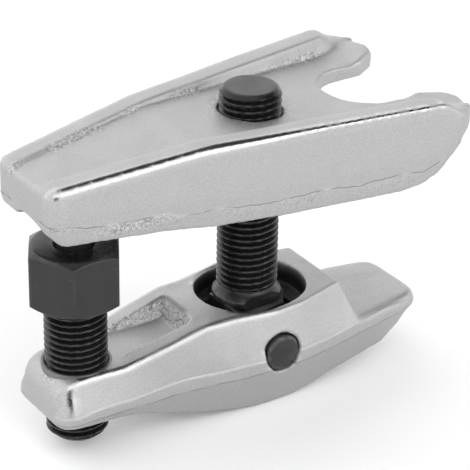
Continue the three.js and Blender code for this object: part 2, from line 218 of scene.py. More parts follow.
def world():
    """A white studio tent: brighter in front and behind, with a dark gap in its roof.

    The gap and the dark tripod beside the camera give the smooth faces something to mirror.
    """
    sky = bpy.data.worlds.new("studio")
    sky.use_nodes = True
    n = Nodes(sky.node_tree)
    ray = n.add("ShaderNodeTexCoord").outputs["Generated"]

    def towards(direction, wide, narrow):
        """1 where the ray lies within the narrow angle of a direction, 0 beyond the wide one."""
        cosine = n.add("ShaderNodeVectorMath", {0: ray, 1: Vector(direction).normalized()},
                       operation="DOT_PRODUCT").outputs["Value"]
        return n.ramp(cosine, math.cos(math.radians(wide)), math.cos(math.radians(narrow)))

    ceiling = towards((0.50, 0.00, 0.87), 32, 26)
    softbox = towards((0.36, -0.83, 0.42), 32, 20)
    tripod = towards((-0.34, -0.90, 0.14), 17, 12)
    backdrop = n.ramp(n.add("ShaderNodeSeparateXYZ", {0: ray}).outputs["Y"], 0.1, 0.6)
    level = n.math("ADD", 1.32, n.math("MULTIPLY", softbox, 1.2))
    level = n.math("ADD", level, n.math("MULTIPLY", backdrop, 0.35))
    dark = n.math("MAXIMUM", ceiling, tripod)
    level = n.math("MULTIPLY", level, n.math("SUBTRACT", 1.0, n.math("MULTIPLY", dark, 0.94)))
    back = n.add("ShaderNodeBackground", {"Color": (1, 1, 1, 1), "Strength": level})
    out = n.add("ShaderNodeOutputWorld")
    sky.node_tree.links.new(back.outputs[0], out.inputs[0])
    bpy.context.scene.world = sky


def floor():
    """A pale, matt ground, just below the lower jaw's belly."""
    mesh = bpy.data.meshes.new("floor")
    half = 4.0
    z = cad_low.z - FLOOR_GAP * MM
    corners = [(-half, -half, z), (half, -half, z), (half, half, z), (-half, half, z)]
    mesh.from_pydata(corners, [], [(0, 1, 2, 3)])
    plane = bpy.data.objects.new("floor", mesh)
    bpy.context.scene.collection.objects.link(plane)
    material = bpy.data.materials.new("pale_floor")
    material.use_nodes = True
    n = Nodes(material.node_tree)
    shader = n.add("ShaderNodeBsdfDiffuse", {"Color": (0.93, 0.93, 0.93, 1)})
    out = n.add("ShaderNodeOutputMaterial")
    material.node_tree.links.new(shader.outputs[0], out.inputs[0])
    mesh.materials.append(material)


# ------------------------------------------------------------------ materials
def metal(name):
    """A new material with its node helper, its object coordinates and its shader."""
    material = bpy.data.materials.new(name)
    material.use_nodes = True
    n = Nodes(material.node_tree)
    place = n.add("ShaderNodeTexCoord").outputs["Object"]
    shader = n.add("ShaderNodeBsdfPrincipled")
    out = n.add("ShaderNodeOutputMaterial")
    material.node_tree.links.new(shader.outputs[0], out.inputs[0])
    return material, n, place, shader


def feed(n, shader, **values):
    """Sets or links a shader's own sockets."""
    for key, value in values.items():
        socket = shader.inputs[key.replace("_", " ")]
        if isinstance(value, bpy.types.NodeSocket):
            n.tree.links.new(value, socket)
        else:
            socket.default_value = value


def plated_forging():
    """Satin plating over a forged skin: fine grain, soft clouds, pits darkened partly as residue and partly
    as painted shade, and a parting line darkened as a painted shadow of its step.

    The masks that the meshes carry say where the skin is rough, where it is ground bright, and where shade is
    painted into it.
    """
    material, n, place, shader = metal("plated_forging")

    def mask(name):
        return n.add("ShaderNodeAttribute", attribute_name=name).outputs["Fac"]

    rough_patch, polish, seam, painted_shade = mask("rough_patch"), mask("polish"), mask("seam"), mask("painted_shade")
    clouds = n.noise(place, 110, 3)
    grain = n.noise(place, 2600, 3, 0.7)
    crystals = n.noise(place, 1300, 3, 0.7)
    pits = n.noise(place, 800, 2, 0.6)
    pit = n.math("MULTIPLY", n.ramp(pits, 0.54, 0.66), rough_patch)

    # Painted shadow: a broken dark line along the parting line stands in for its step's shadow; the pits are
    # darkened partly as residue and partly as painted shade.
    broken = n.ramp(n.noise(place, 120, 2), 0.36, 0.52)
    line = n.math("MULTIPLY", n.ramp(n.math("ABSOLUTE", seam), 0.05, 0.30, 1.0, 0.0), broken)
    residue_and_painted_shade = n.math("MAXIMUM", n.math("MULTIPLY", pit, 0.6), n.math("MULTIPLY", line, 0.62))

    bright = n.mix(clouds, (0.435, 0.435, 0.435, 1), (0.49, 0.49, 0.49, 1))
    speckle = n.ramp(grain, 0.30, 0.70, 0.86, 1.06)
    bright = n.tint(bright, speckle)
    mottled = n.tint(bright, n.ramp(crystals, 0.34, 0.60, 0.62, 1.4))
    colour = n.mix(rough_patch, bright, mottled)
    # Painted shade and residue: pits and the parting line are darkened towards a dark grey.
    colour = n.mix(residue_and_painted_shade, colour, (0.12, 0.115, 0.11, 1))
    # Painted shade: the well, the bores and the trough's lip are darkened nearly to black.
    colour = n.mix(painted_shade, colour, (0.028, 0.028, 0.029, 1))
    rough = n.math("ADD", n.ramp(clouds, 0.3, 0.7, 0.53, 0.62), n.math("MULTIPLY", rough_patch, 0.06))
    rough = n.math("SUBTRACT", rough, n.math("MULTIPLY", polish, 0.45))

    relief = n.math("ADD", n.math("MULTIPLY", grain, 0.45), n.math("MULTIPLY", clouds, 0.6))
    relief = n.math("SUBTRACT", relief, n.math("MULTIPLY", pit, 2.0))
    relief = n.math("ADD", relief, n.math("MULTIPLY", n.math("MULTIPLY", crystals, rough_patch), 3.0))
    bump = n.add("ShaderNodeBump", {"Height": relief, "Strength": 0.5, "Distance": 0.00012})
    feed(n, shader, Base_Color=colour, Metallic=1.0, Roughness=rough, Normal=bump.outputs[0])
    return material


def black_oxide():
    """Oiled black oxide: near black, half gloss, lighter along edges and thread crests, partly from wear and
    partly as a painted highlight.
    """
    material, n, place, shader = metal("black_oxide")
    edge_wear_and_highlight = n.add("ShaderNodeAttribute", attribute_name="edge_wear_and_highlight").outputs["Fac"]
    oiled = n.add("ShaderNodeAttribute", attribute_name="oiled").outputs["Fac"]
    clouds = n.noise(place, 140, 3)
    grain = n.noise(place, 2400, 3, 0.6)
    streaks = n.add("ShaderNodeMapping", {"Vector": place, "Rotation": (0.5, 0.2, 0.9), "Scale": (1, 1, 7)})
    nicks = n.ramp(n.noise(streaks.outputs[0], 150, 4, 0.7), 0.645, 0.69)
    wear_and_highlight = n.math("MULTIPLY", edge_wear_and_highlight, n.ramp(n.noise(place, 380, 3, 0.7), 0.38, 0.66, 0.15, 1.0))
    wear_and_highlight = n.math("MAXIMUM", n.math("MULTIPLY", wear_and_highlight, 0.42), n.math("MULTIPLY", nicks, 0.16))
    black = n.mix(clouds, (0.022, 0.022, 0.023, 1), (0.036, 0.036, 0.037, 1))
    black = n.mix(oiled, black, (0.012, 0.011, 0.011, 1))
    # Painted highlight and wear: the masked edges and crests are lightened towards a mid grey.
    colour = n.mix(wear_and_highlight, black, (0.26, 0.25, 0.25, 1))
    rough = n.math("SUBTRACT", n.ramp(clouds, 0.3, 0.7, 0.30, 0.42), n.math("MULTIPLY", oiled, 0.12))
    bump = n.add("ShaderNodeBump", {
        "Height": n.math("ADD", grain, n.math("MULTIPLY", clouds, 1.5)), "Strength": 0.3, "Distance": 0.00006,
    })
    feed(n, shader, Base_Color=colour, Metallic=0.5, Roughness=rough, Normal=bump.outputs[0])
    return material


def bare_steel():
    """Ground and polished steel with fine turning marks."""
    material, n, place, shader = metal("bare_steel")
    marks = n.noise(place, 3000, 2)
    colour = n.mix(marks, (0.60, 0.60, 0.61, 1), (0.74, 0.74, 0.75, 1))
    rough = n.ramp(marks, 0.3, 0.7, 0.12, 0.22)
    bump = n.add("ShaderNodeBump", {"Height": marks, "Strength": 0.1, "Distance": 0.00003})
    feed(n, shader, Base_Color=colour, Metallic=1.0, Roughness=rough, Normal=bump.outputs[0])
    return material


# ------------------------------------------------------------------ mesh helpers
def smoothstep(value, low, high):
    t = np.clip((value - low) / (high - low), 0, 1)
    return t * t * (3 - 2 * t)


def along(table, x):
    """Straight lines between the points of a table of (x, value), level beyond its ends."""
    return np.interp(x, [p[0] for p in table], [p[1] for p in table])


def linked(name, mesh):
    piece = bpy.data.objects.new(name, mesh)
    bpy.context.scene.collection.objects.link(piece)
    return piece


def coordinates(mesh):
    co = np.empty(len(mesh.vertices) * 3)
    mesh.vertices.foreach_get("co", co)
    return co.reshape(-1, 3) / MM


def set_coordinates(mesh, co):
    mesh.vertices.foreach_set("co", (co * MM).ravel())
    mesh.update()


def normals(mesh):
    out = np.empty(len(mesh.vertices) * 3)
    mesh.vertex_normals.foreach_get("vector", out)
    return out.reshape(-1, 3)


def write_attribute(mesh, name, values):
    attribute = mesh.attributes.new(name, "FLOAT", "POINT")
    attribute.data.foreach_set("value", np.asarray(values, np.float32))


def noise_field(co, size, offset=0.0):
    """Smooth noise, about -0.5 to 0.5, with lumps of the given size."""
    shift = Vector((offset, 17.3, 5.1))
    return np.array([noise.noise(Vector(p) / size + shift) for p in co])


def finish_piece(piece, node, body, material):
    piece.data.materials.clear()
    piece.data.materials.append(material)
    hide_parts(node)
    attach(piece, body)


# ------------------------------------------------------------------ forgings
class Ring:
    """Each vertex's neighbours, for relaxing a mesh."""

    def __init__(self, mesh):
        edges = np.empty(len(mesh.edges) * 2, np.int64)
        mesh.edges.foreach_get("vertices", edges)
        edges = edges.reshape(-1, 2)
        pairs = np.concatenate([edges, edges[:, ::-1]])
        pairs = pairs[np.argsort(pairs[:, 0], kind="stable")]
        self.near = pairs[:, 1]
        self.count = np.bincount(pairs[:, 0], minlength=len(mesh.vertices))[:, None]
        self.start = np.concatenate([[0], np.cumsum(self.count[:-1, 0])])

    def relax(self, co, rounds, where=1.0):
        """Moves each vertex halfway to its neighbours' mean, or less far where the mask is below 1."""
        pull = 0.5 * np.broadcast_to(where, len(co))[:, None]
        for _ in range(rounds):
            mean = np.add.reduceat(co[self.near], self.start, axis=0) / self.count
            co = co + pull * (mean - co)
        return co


def sharp_edges(solid, sign, soft):
    """Points along a CAD solid's sharp edges, convex for +1 and concave for -1, as a search tree.

    Edges that run along X count from the smaller angle, soft, in degrees.
    """
    spacing = 0.4
    points = []
    for edge in solid.edges:
        if len(edge.link_faces) != 2:
            continue
        a, b = (v.co / MM for v in edge.verts)
        lengthwise = abs(b.x - a.x) > 0.9 * (b - a).length
        limit = soft if lengthwise else SHARP
        if sign * math.degrees(edge.calc_face_angle_signed()) < limit:
            continue
        steps = max(1, int((b - a).length / spacing))
        points.extend(a.lerp(b, i / steps) for i in range(steps + 1))
    tree = kdtree.KDTree(len(points))
    for i, point in enumerate(points):
        tree.insert(point, i)
    tree.balance()
    return tree


def distance(co, tree):
    return np.array([tree.find(p)[2] for p in co])


def forged(node, name, soft=SHARP):
    """A CAD node's solid remeshed fine, with its neighbours and its distance to sharp edges."""
    mesh = frame["nodes"][node].data.copy()
    solid = bmesh.new()
    solid.from_mesh(mesh)
    bmesh.ops.remove_doubles(solid, verts=solid.verts, dist=0.002 * MM)
    solid.normal_update()
    trees = sharp_edges(solid, 1, soft), sharp_edges(solid, -1, soft)
    solid.to_mesh(mesh)
    solid.free()
    rough = linked(name + "_rough", mesh)
    remesh = rough.modifiers.new("remesh", "REMESH")
    remesh.mode = "VOXEL"
    remesh.voxel_size = VOXEL * MM
    depsgraph = bpy.context.evaluated_depsgraph_get()
    fine = bpy.data.meshes.new_from_object(rough.evaluated_get(depsgraph), depsgraph=depsgraph)
    bpy.data.objects.remove(rough)
    fine.materials.clear()
    for attribute in [a.name for a in fine.attributes if a.name not in (
            "position", ".edge_verts", ".corner_vert", ".corner_edge", "sharp_face")]:
        fine.attributes.remove(fine.attributes[attribute])
    piece = linked(name, fine)
    co = coordinates(fine)
    return piece, Ring(fine), co, distance(co, trees[0]), distance(co, trees[1])


def fillet(ring, co, convex, concave, extra, crisp=0.0):
    """Rounds a forging: wide fillets in its inside corners, and no loft breaks on its flats.

    Extra is where the outside corners get a wide round too, and crisp is where only the light
    passes over everything, first and last, apply.
    """
    co = ring.relax(co, 4)
    inside = np.exp(-(concave / FILLET) ** 2) * smoothstep(convex, 0.3, 1.8) * (1 - crisp)
    co = ring.relax(co, 50, inside)
    flats = smoothstep(np.minimum(convex, concave + 1.0), 1.2, 3.2) * (1 - crisp)
    co = ring.relax(co, 120, flats)
    co = ring.relax(co, 60, extra)
    return ring.relax(co, 3)


def lengthwise_noise(x, size, offset):
    """Noise that changes along X only."""
    return noise_field(np.stack([x, 0 * x, 0 * x], 1), size, offset)


def pits(co, patch, depth, offset):
    """Small pits where the skin is rough, as a height along the normal."""
    return -depth * patch * smoothstep(noise_field(co, 1.1, offset), 0.05, 0.45)


def write_masks(mesh, seam, rough_patch, polish, painted_shade):
    """The masks of the plated forging, one value for each vertex; the last one is painted shade."""
    write_attribute(mesh, "seam", seam)
    write_attribute(mesh, "rough_patch", rough_patch)
    write_attribute(mesh, "polish", polish)
    write_attribute(mesh, "painted_shade", painted_shade)


# ------------------------------------------------------------------ upper jaw
def rim_half(x):
    """Half of the upper jaw's width over its rims."""
    return UPPER_HALF + UPPER_TAPER * x


def upper_rims(co):
    """1 at the rims' outer edges, 0 elsewhere."""
    x, y, z = co.T
    return smoothstep(np.abs(y) - rim_half(x), -3.4, -1.6) * smoothstep(z, 78, 82)


def upper_form(co, up, ring, convex, concave, rims):
    """The upper jaw's shape before its skin; up is the vertical part of the normals."""
    x, y, z = co.T
    inwards = rim_half(x) - np.abs(y)

    # The rims' outer edges, the tail's near corner and the tips are rounded; the recess stays crisp.
    edge = np.exp(-(convex / 2.2) ** 2)
    tail_corner = smoothstep(-x, 67, 69) * smoothstep(-y, 6.5, 8.5) * smoothstep(z, 84, 85)
    ridge = edge * rims * (0.05 + 0.95 * smoothstep(-x, -12, 28)) * (0.35 + 0.65 * smoothstep(-y, -1, 1))
    ridge = np.maximum(ridge, 0.7 * edge * tail_corner)
    tip = np.exp(-(np.minimum(convex, concave) / 1.6) ** 2) * smoothstep(x, 42.5, 44) * smoothstep(z, 86, 87)
    extra = np.maximum(ridge, 0.2 * tip * smoothstep(np.abs(y), 22, 24))
    recess = smoothstep(z, 84, 85.5) * smoothstep(inwards, 2.8, 3.8) * smoothstep(42 - x, 0, 3)
    crisp = recess * smoothstep(-np.minimum(convex, concave), -2.6, -1.6)

    # The web rises to a level tongue at the fork's tips, and is smoothed there.
    facing_up = smoothstep(up, 0.75, 0.92) * smoothstep(z, 86.2, 87.2)
    rise = facing_up * smoothstep(x, 44.5, 49.5) * np.maximum(TONGUE_Z - z, 0) * smoothstep(inwards, 2, 5)
    tongue = smoothstep(x, 43.0, 45.5) * smoothstep(-x, -55.5, -53.5) * smoothstep(z, 86.2, 87.2)
    tongue = tongue * smoothstep(np.abs(y), 17.5, 19.5) * smoothstep(inwards, 1.8, 3.2)
    co = ring.relax(co + np.stack([0 * x, 0 * x, rise], 1), 90, tongue)
    return fillet(ring, co, convex, concave, extra, crisp)


def upper_seam(co, out):
    """Height above the parting line, and 1 on the walls that show it.

    The line runs round the side walls, about 5 mm above the bottom edge.
    """
    line = [
        (-73, 78.0), (-66, 77.2), (-58, 76.2), (-41, 76.2), (-30, 74.5), (-25, 74.6), (-7, 73.6),
        (6, 74.2), (18, 73.2), (32, 73.8), (38, 74.2), (43, 76.0), (47, 78.8), (51, 81.6), (58, 84.6),
    ]
    x, y, z = co.T
    wander = 0.9 * lengthwise_noise(x, 9.0, 0.0) + 0.35 * lengthwise_noise(x, 2.6, 40.0)
    wall = smoothstep(np.abs(y) / rim_half(x), 0.90, 0.97)
    wall = np.maximum(wall, smoothstep(-x, 71.5, 72.6) * smoothstep(np.abs(y), 6, 8))
    wall = np.maximum(wall, smoothstep(x, 50, 54))
    wall = wall * smoothstep(-np.abs(out[:, 2]), -0.75, -0.45)
    return z - along(line, x) - wander, wall


def upper_patch(co, seam, wall, concave):
    """Where the skin is rough: below the parting line, at the far rim's foot and round the hole."""
    x, y, z = co.T
    band = smoothstep(-seam, -0.4, 0.6) * wall
    knocked = band * (0.2 + 0.45 * smoothstep(-x, 30, 50)) * smoothstep(seam, -4.2, -2.2)
    foot = 0.85 * np.exp(-(concave / 1.7) ** 2) * smoothstep(z, 84, 86) * smoothstep(y, 3, 4)
    foot = foot * smoothstep(52 - x, 0, 6) * (1 - 0.8 * smoothstep(-np.abs(x - 8), -16, -10))
    hole = np.exp(-(np.hypot(x, y) - 9.3) ** 2 / 9) * smoothstep(z, 88, 89.5)
    return np.clip(knocked + foot + 0.5 * hole, 0, 1) * smoothstep(noise_field(co, 10.0, 3.0), -0.4, 0.1)


def upper_polish(co, convex, rims):
    """The rims' edges are ground bright: whole towards the tail, chipped towards the fork."""
    x, y, z = co.T
    tail_corner = smoothstep(-x, 67.5, 69) * smoothstep(-y, 10.9, 11.9) * smoothstep(z, 83.6, 84.8)
    near = 0.25 + 0.75 * smoothstep(-y, -1, 1)
    chipped = smoothstep(lengthwise_noise(x, 1.3, 90.0), -0.5, 0.3)
    tailwards = smoothstep(-x, -12, 18)
    fading = tailwards + (1 - tailwards) * (0.25 + 0.65 * chipped)
    ground = np.exp(-(convex / 2.6) ** 4) * np.maximum(rims * near * fading, tail_corner)
    return ground * smoothstep(44.5 - x, 0, 1.5)


def upper_jaw(material):
    piece, ring, co, convex, concave = forged("upper_jaw", "upper_jaw_forging")
    mesh = piece.data
    rims = upper_rims(co)
    co = upper_form(co, normals(mesh)[:, 2], ring, convex, concave, rims)
    set_coordinates(mesh, co)

    out = normals(mesh)
    seam, wall = upper_seam(co, out)
    patch = upper_patch(co, seam, wall, concave)
    waves = 0.10 * noise_field(co, 14.0) + 0.05 * noise_field(co, 5.0, 9.0)
    step = -FLASH_STEP * smoothstep(seam, -0.4, 0.3) * smoothstep(-seam, -4.5, -0.6)
    set_coordinates(mesh, co + out * (waves + step * wall + pits(co, patch, 0.12, 60.0))[:, None])
    write_masks(mesh, np.where(wall > 0.4, seam, NO_SEAM), patch, upper_polish(co, convex, rims), 0 * seam)
    finish_piece(piece, "upper_jaw", "upper", material)


# ------------------------------------------------------------------ lower jaw
def lower_form(co, ring, convex, concave):
    """The lower jaw's shape before its skin.

    The boss's end, the pad's rim and the trough's walls are rounded; the pad's foot stays crisp.
    """
    x, y, z = co.T
    edge = np.exp(-(convex / 1.8) ** 2)
    boss_end = 0.12 * edge * smoothstep(-x, 60, 66)
    pad = 0.5 * edge * smoothstep(x, 29, 33) * smoothstep(z, 17.5, 19.5)
    wall = 0.5 * edge * smoothstep(-x, -8, 6) * smoothstep(np.abs(y), 9, 10) * smoothstep(z, 21, 23)
    foot = smoothstep(x, 22, 24) * smoothstep(-x, -34, -31) * smoothstep(z, 17, 19)
    return fillet(ring, co, convex, concave, np.maximum(np.maximum(boss_end, pad), wall), 0.85 * foot)


def lower_seam(co):
    """Height above the parting line, height above the band's ledge, and 1 on the outer walls."""
    line = [(-58, 14.5), (-22, 14.7), (-4, 15.5), (24, 15.8), (35, 16.4), (56, 16.9)]
    high = [(-70, 16.9), (-40, 18.4), (-22, 18.6), (-4, 19.4), (24, 19.7), (40, 20.6), (50, 19.2), (56, 18.0)]
    wide = [(-70, 9.4), (-58, 12), (-22, 14.4), (0, 18), (16, 16.4), (56, 9.5)]
    x, y, z = co.T
    seam = z - along(line, x) - 0.4 * lengthwise_noise(x, 8.0, 21.0)
    ledge = z - along(high, x) - 0.5 * lengthwise_noise(x, 11.0, 51.0)
    return seam, ledge, smoothstep(np.abs(y) - along(wide, x), -1, 0)


def lower_patch(co):
    """Where the skin is rough: in the trough and, here and there, on the boss."""
    x, y, z = co.T
    trough = smoothstep(-x, 23.0, 24.0) * smoothstep(x, -52, -46) * smoothstep(z, 27.3, 28.2)
    trough = trough * smoothstep(-np.abs(y), -8.4, -7.4) * smoothstep(-z, -34, -31.5)
    trough = trough * (0.45 + 0.55 * smoothstep(noise_field(co * (1, 1, 0.3), 2.2, 12.0), -0.3, 0.3))
    boss_top = 0.4 * smoothstep(-x, 62, 66) * smoothstep(z, 22, 25)
    return np.clip(trough + boss_top * smoothstep(noise_field(co, 6.0, 33.0), 0.0, 0.3), 0, 1)


def lower_polish(co, skin, convex):
    """A bright line along the top edges, and a knocked spot at the boss's near corner.

    Skin is the same vertices after the waves, which the knocked spot's ragged edge follows.
    """
    x, y, z = co.T
    ground = (0.45 + 0.35 * smoothstep(-x, 36, 46)) * np.exp(-(convex / 1.6) ** 4) * smoothstep(-x, -6, 6)
    ground = ground * smoothstep(np.abs(y), 9, 10) * smoothstep(z, 20, 22)
    knock = np.exp(-((x + 67.2) / 3.0) ** 4 - ((y + 10.6) / 2.6) ** 4 - ((z - 21.0) / 4.2) ** 4)
    return np.maximum(ground, knock * smoothstep(noise_field(skin, 1.6, 80.0), -0.35, 0.0))


def lower_painted_shade(co, convex):
    """Painted shade: the well round the stud, darkened as its shade and as a painted dark reflection of the
    stud, the screw's bore and the trough's near lip.
    """
    x, y, z = co.T
    from_well = np.hypot(np.maximum(np.abs(x - 1.2) - 2.2, 0), y)
    well = smoothstep(-from_well, -14.9, -14.3) * smoothstep(-z, -33.0, -31.6) * smoothstep(z, 6, 7.5)
    bore = smoothstep(-np.hypot(x - SCREW_X, y), -9.9, -9.3)
    lip = np.exp(-(convex / 0.8) ** 2) * smoothstep(-x, 21.5, 23) * smoothstep(x, -50, -47)
    lip = 0.55 * lip * smoothstep(z, 31.0, 32.2) * smoothstep(-np.abs(y), -9.0, -8.2) * smoothstep(y, -5, -2)
    return np.clip(0.96 * well + 0.9 * bore + lip, 0, 1)


def lower_jaw(material):
    piece, ring, co, convex, concave = forged("lower_jaw", "lower_jaw_forging", soft=11)
    mesh = piece.data
    co = lower_form(co, ring, convex, concave)
    set_coordinates(mesh, co)

    # The raised band runs along the sides, from the parting line up to its ledge.
    seam, ledge, outer = lower_seam(co)
    proud = BAND * smoothstep(seam, -0.3, 0.3) * smoothstep(-ledge, -0.35, 0.35) * outer
    patch = lower_patch(co)
    waves = 0.10 * noise_field(co, 13.0, 5.0) + 0.05 * noise_field(co, 4.5, 19.0)
    skin = co + normals(mesh) * (waves + pits(co, patch, 0.14, 70.0) + proud)[:, None]
    set_coordinates(mesh, skin)
    polish = lower_polish(co, skin, convex)
    write_masks(mesh, np.where(outer > 0.5, seam, NO_SEAM), patch, polish, lower_painted_shade(co, convex))
    finish_piece(piece, "lower_jaw", "lower", material)


# ------------------------------------------------------------------ turned pieces
COLUMNS = 72
SCREW_COLUMNS = 144
SMOOTH_UP_TO = 40         # faces that meet at more degrees than this keep a sharp edge
EYE_SIDES = 96


def angles(columns=COLUMNS):
    return 2 * np.pi * np.arange(columns) / columns


def mesh_of(name, points, faces):
    """A mesh from points in millimetres."""
    mesh = bpy.data.meshes.new(name)
    mesh.from_pydata([Vector(p) * MM for p in points], [], faces)
    return mesh


def shade(mesh, sharp):
    mesh.shade_smooth()
    mesh.set_sharp_from_angle(angle=math.radians(sharp))


def hoop_faces(rings, columns):
    """The faces of a hoop: rings of points, one after the other, the last one joined to the first."""
    faces = []
    for row in range(rings):
        a, b = row * columns, ((row + 1) % rings) * columns
        for i in range(columns):
            j = (i + 1) % columns
            faces.append((a + i, a + j, b + j, b + i))
    return faces


def grid_body(name, rows, columns=COLUMNS, sharp=SMOOTH_UP_TO):
    """A closed body about Z from rows of (radius, height), each one number or one per column.

    The first and last rows lie on the axis.
    """
    turn = angles(columns)
    flat = np.zeros(columns)
    points = [(0, 0, rows[0][1])]
    for radius, height in rows[1:-1]:
        r = flat + radius
        points.extend(zip(r * np.cos(turn), r * np.sin(turn), flat + height))
    points.append((0, 0, rows[-1][1]))
    count = len(rows) - 2
    faces = []
    last = len(points) - 1
    for i in range(columns):
        j = (i + 1) % columns
        faces.append((0, 1 + j, 1 + i))
        for row in range(count - 1):
            a = 1 + row * columns
            faces.append((a + i, a + j, a + columns + j, a + columns + i))
        top = 1 + (count - 1) * columns
        faces.append((last, top + i, top + j))
    mesh = mesh_of(name, points, faces)
    shade(mesh, sharp)
    return linked(name, mesh)


def thread_radius(z, turn, deepest=1.0):
    """A right-hand V thread's radius at a height, for each angle; deepest cuts its roots short."""
    phase = np.abs((z / PITCH - turn / (2 * np.pi)) % 1.0 - 0.5) * PITCH
    flank = FLANK_SHARE * (PITCH - CREST_FLAT) / 2
    depth = np.clip((phase - CREST_FLAT / 2) / flank, 0, deepest)
    return CREST_R - (CREST_R - ROOT_R) * depth


def thread_rows(z0, z1, envelope, columns=COLUMNS):
    """Rows of a thread, no further out than the envelope, a table of (z, radius)."""
    turn = angles(columns)
    heights = np.arange(z0, z1, PITCH / THREAD_STEPS)
    return [(np.minimum(thread_radius(z, turn), along(envelope, z)), z) for z in heights]


def jaw_thread(name, node, body, x, bore_z, material):
    """The threaded lining of a jaw's bore: it follows the screw's helix with a little clearance.

    Its roots are cut short, and a countersink opens it towards both ends.
    """
    turn = angles()
    z0, z1 = bore_z
    countersink, steepness = 0.45, 1.4 / 0.9
    rings = [(CREST_R + LINING, z0), (CREST_R + LINING, z1)]
    for z in np.arange(z1, z0 - 0.01, -PITCH / THREAD_STEPS):
        radius = thread_radius(z, turn, 0.8) + THREAD_CLEARANCE
        inwards = max(0, min(z1 - z, z - z0) - 0.1)
        rings.append((np.maximum(radius, CREST_R + countersink - steepness * inwards), z))
    points = []
    for radius, height in rings:
        r = np.zeros(COLUMNS) + radius
        points.extend(zip(x + r * np.cos(turn), r * np.sin(turn), np.full(COLUMNS, height)))
    mesh = mesh_of(name, points, hoop_faces(len(rings), COLUMNS))
    shade(mesh, SMOOTH_UP_TO)
    none = np.zeros(len(points))
    # The lining is darkened halfway with painted shade.
    write_masks(mesh, none + NO_SEAM, none, none, none + 0.5)
    finish_piece(linked(name, mesh), node, body, material)


def corner(points, radius, steps=4):
    """A profile of (r, z) points with its inner corners rounded."""
    out = [points[0]]
    for before, here, after in zip(points, points[1:], points[2:]):
        p = Vector(here)
        a, b = Vector(before) - p, Vector(after) - p
        cut = min(radius, a.length * 0.45, b.length * 0.45)
        start, end = p + a.normalized() * cut, p + b.normalized() * cut
        for i in range(steps + 1):
            t = i / steps
            q = start * (1 - t) ** 2 + p * (2 * t * (1 - t)) + end * t ** 2
            out.append((q.x, q.y))
    out.append(points[-1])
    return out


def wear_and_highlight(piece, edge_wear_and_highlight, oiled=0.0):
    """The masks of the black oxide, one value for each vertex: edges lightened by wear and as a painted
    highlight, and oily places.
    """
    write_attribute(piece.data, "edge_wear_and_highlight", edge_wear_and_highlight)
    write_attribute(piece.data, "oiled", oiled + 0 * edge_wear_and_highlight)


def soft_min(a, b, softness):
    """The smaller of two values, with a round where they cross."""
    h = np.clip(0.5 + (b - a) / (2 * softness), 0, 1)
    return b * (1 - h) + a * h - softness * h * (1 - h)


def hexagon(turn):
    """Distance from the axis to the hexagon's side at each angle."""
    sector = math.pi / 3
    off_corner = np.abs((turn + math.pi / 2 + HEAD_TURN + sector / 2) % sector - sector / 2)
    return (HEX_FLATS / 2) / np.cos(sector / 2 - off_corner)


def screw(material):
    """The pressure screw in one grid: point, thread, hexagon, then down the socket to the ball's seat."""
    point = 2.4
    envelope = [(SCREW_END_Z, CREST_R - point), (SCREW_END_Z + point, CREST_R + 0.1)]
    rows = [(0, SCREW_END_Z), (CREST_R - point - 0.2, SCREW_END_Z)]
    rows += thread_rows(SCREW_END_Z + 0.1, HEX_BOTTOM_Z - 1.2, envelope, SCREW_COLUMNS)
    rows += [(ROOT_R, HEX_BOTTOM_Z - 1.0), (ROOT_R + 0.1, HEX_BOTTOM_Z - 0.3), (ROOT_R + 0.5, HEX_BOTTOM_Z)]

    # The hexagon, cut by a cone at each end; its rows are closest where the cones curve.
    rim = HEX_FLATS / 2 - 0.6
    rows += [(r, HEX_BOTTOM_Z) for r in np.linspace(ROOT_R + 1, rim - 0.15, 4)]
    flats = hexagon(angles(SCREW_COLUMNS))
    middle = (HEX_TOP_Z + HEX_BOTTOM_Z) / 2
    half = (HEX_TOP_Z - HEX_BOTTOM_Z) / 2
    climb = np.concatenate([np.linspace(0.06, 2.6, 22), np.linspace(2.9, half, 8)])
    for z in np.concatenate([HEX_BOTTOM_Z + climb, (HEX_TOP_Z - climb)[::-1][1:]]):
        cone = rim + (half - abs(z - middle)) / math.tan(HEX_CHAMFER)
        rows.append((soft_min(flats, cone, 0.12), z))

    mouth = SOCKET_R + 0.35
    groove = SOCKET_R + 1.6
    rows.append((rim - 0.1, HEX_TOP_Z))
    rows += [(r, HEX_TOP_Z) for r in np.linspace(rim - 1, mouth + 0.15, 4)]
    rows += corner([
        (mouth + 0.1, HEX_TOP_Z), (SOCKET_R, HEX_TOP_Z - 0.4), (SOCKET_R, RING_Z + 1),
        (groove, RING_Z + 1), (groove, RING_Z - 1), (SOCKET_R, RING_Z - 1),
        (SOCKET_R, SOCKET_Z), (BALL_R + 0.6, SOCKET_Z), (BALL_R - 1.2, SEAT_Z), (0, SEAT_Z),
    ], 0.12, 2)
    piece = grid_body("pressure_screw_turned", rows, SCREW_COLUMNS)

    x, y, z = coordinates(piece.data).T
    radius = np.hypot(x, y)
    below_head = smoothstep(-z, -HEX_BOTTOM_Z, -HEX_BOTTOM_Z + 0.5)
    crest = smoothstep(radius, CREST_R - 0.35, CREST_R) * below_head
    corner_r = HEX_FLATS / math.sqrt(3)
    corners = smoothstep(radius, corner_r - 0.25, corner_r - 0.05)
    ends = smoothstep(half - np.abs(z - middle), 1.4, 0.2) * smoothstep(radius, rim - 0.6, rim)
    lip = smoothstep(-np.abs(radius - mouth), -0.3, -0.1) * smoothstep(z, HEX_TOP_Z - 0.5, HEX_TOP_Z - 0.3)
    top = smoothstep(z, HEX_TOP_Z - 0.1, HEX_TOP_Z - 0.02)
    # The socket's lip is lightened as a painted highlight of its lit edge; crests, corners and the hexagon's
    # ends partly as wear, partly as painted highlight.
    edge_wear_and_highlight = np.clip(0.4 * crest + 0.35 * corners + 0.4 * ends + lip, 0, 1)
    wear_and_highlight(piece, edge_wear_and_highlight, 0.85 * below_head + 0.8 * top)
    piece.data.transform(Matrix.Translation((SCREW_X * MM, 0, 0)))
    finish_piece(piece, "pressure_screw", "screw", material)


